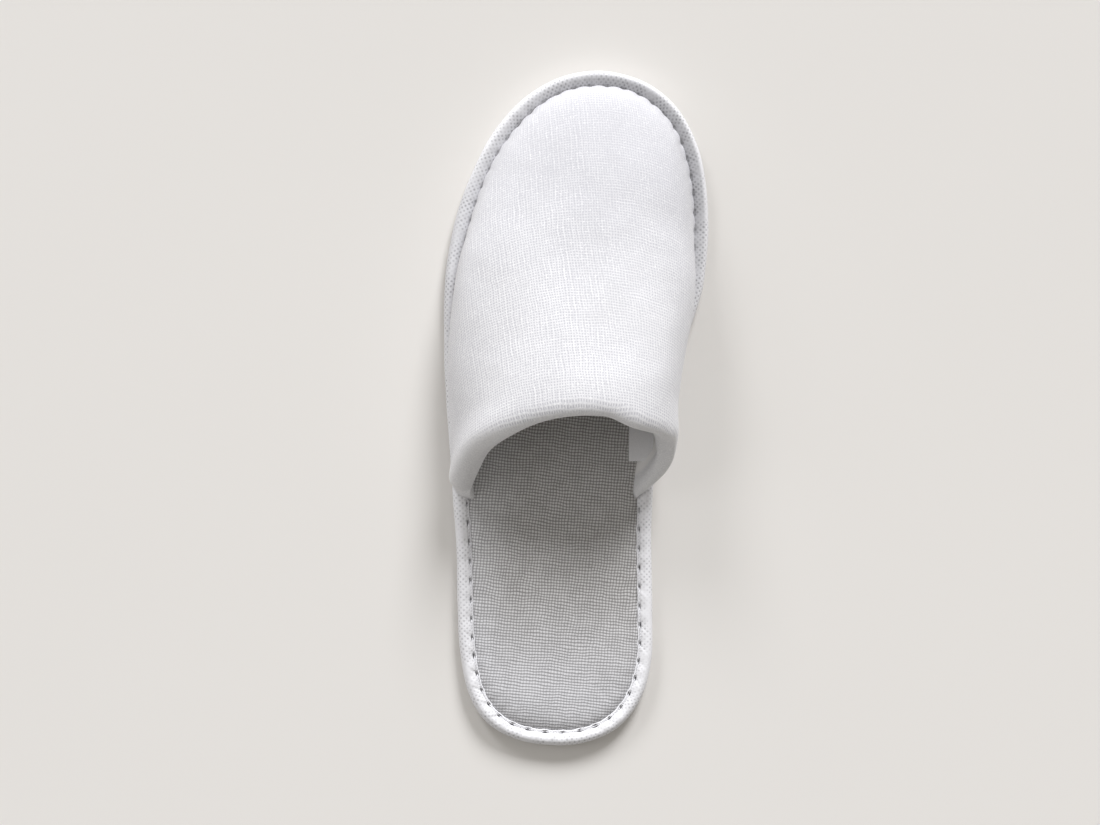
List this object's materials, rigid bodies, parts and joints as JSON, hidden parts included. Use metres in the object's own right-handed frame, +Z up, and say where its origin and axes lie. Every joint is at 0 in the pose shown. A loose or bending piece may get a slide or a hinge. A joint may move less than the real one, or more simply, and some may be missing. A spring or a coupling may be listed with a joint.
{
  "type": "hotel slipper",
  "caption": "White cloth hotel slipper with a closed toe, an open back, a padded footbed, a taped edge and a flat foam sole; left shoe.",
  "frame": {"origin": "middle of the sole's outline on the floor, the centre of the bounding box's bottom", "axes": "+Y from heel to toe, +X to the big-toe (medial) side of this left shoe, +Z up from the floor"},
  "size_m": [0.1095, 0.285, 0.0506],
  "materials": {
    "foam_sole": "matte closed-cell foam with a fine diamond tread",
    "footbed_cloth": "white open plain weave over a thin pad",
    "upper_cloth": "white ribbed plain weave over thin padding, smooth lining",
    "binding_tape": "white embossed non-woven tape, folded and stitched",
    "tab_cloth": "plain white lining cloth"
  },
  "bodies": {
    "root": {"outsole": "foam_sole", "insole": "footbed_cloth", "upper": "upper_cloth", "edge_binding": "binding_tape", "inner_tab": "tab_cloth"}
  },
  "joints": []
}
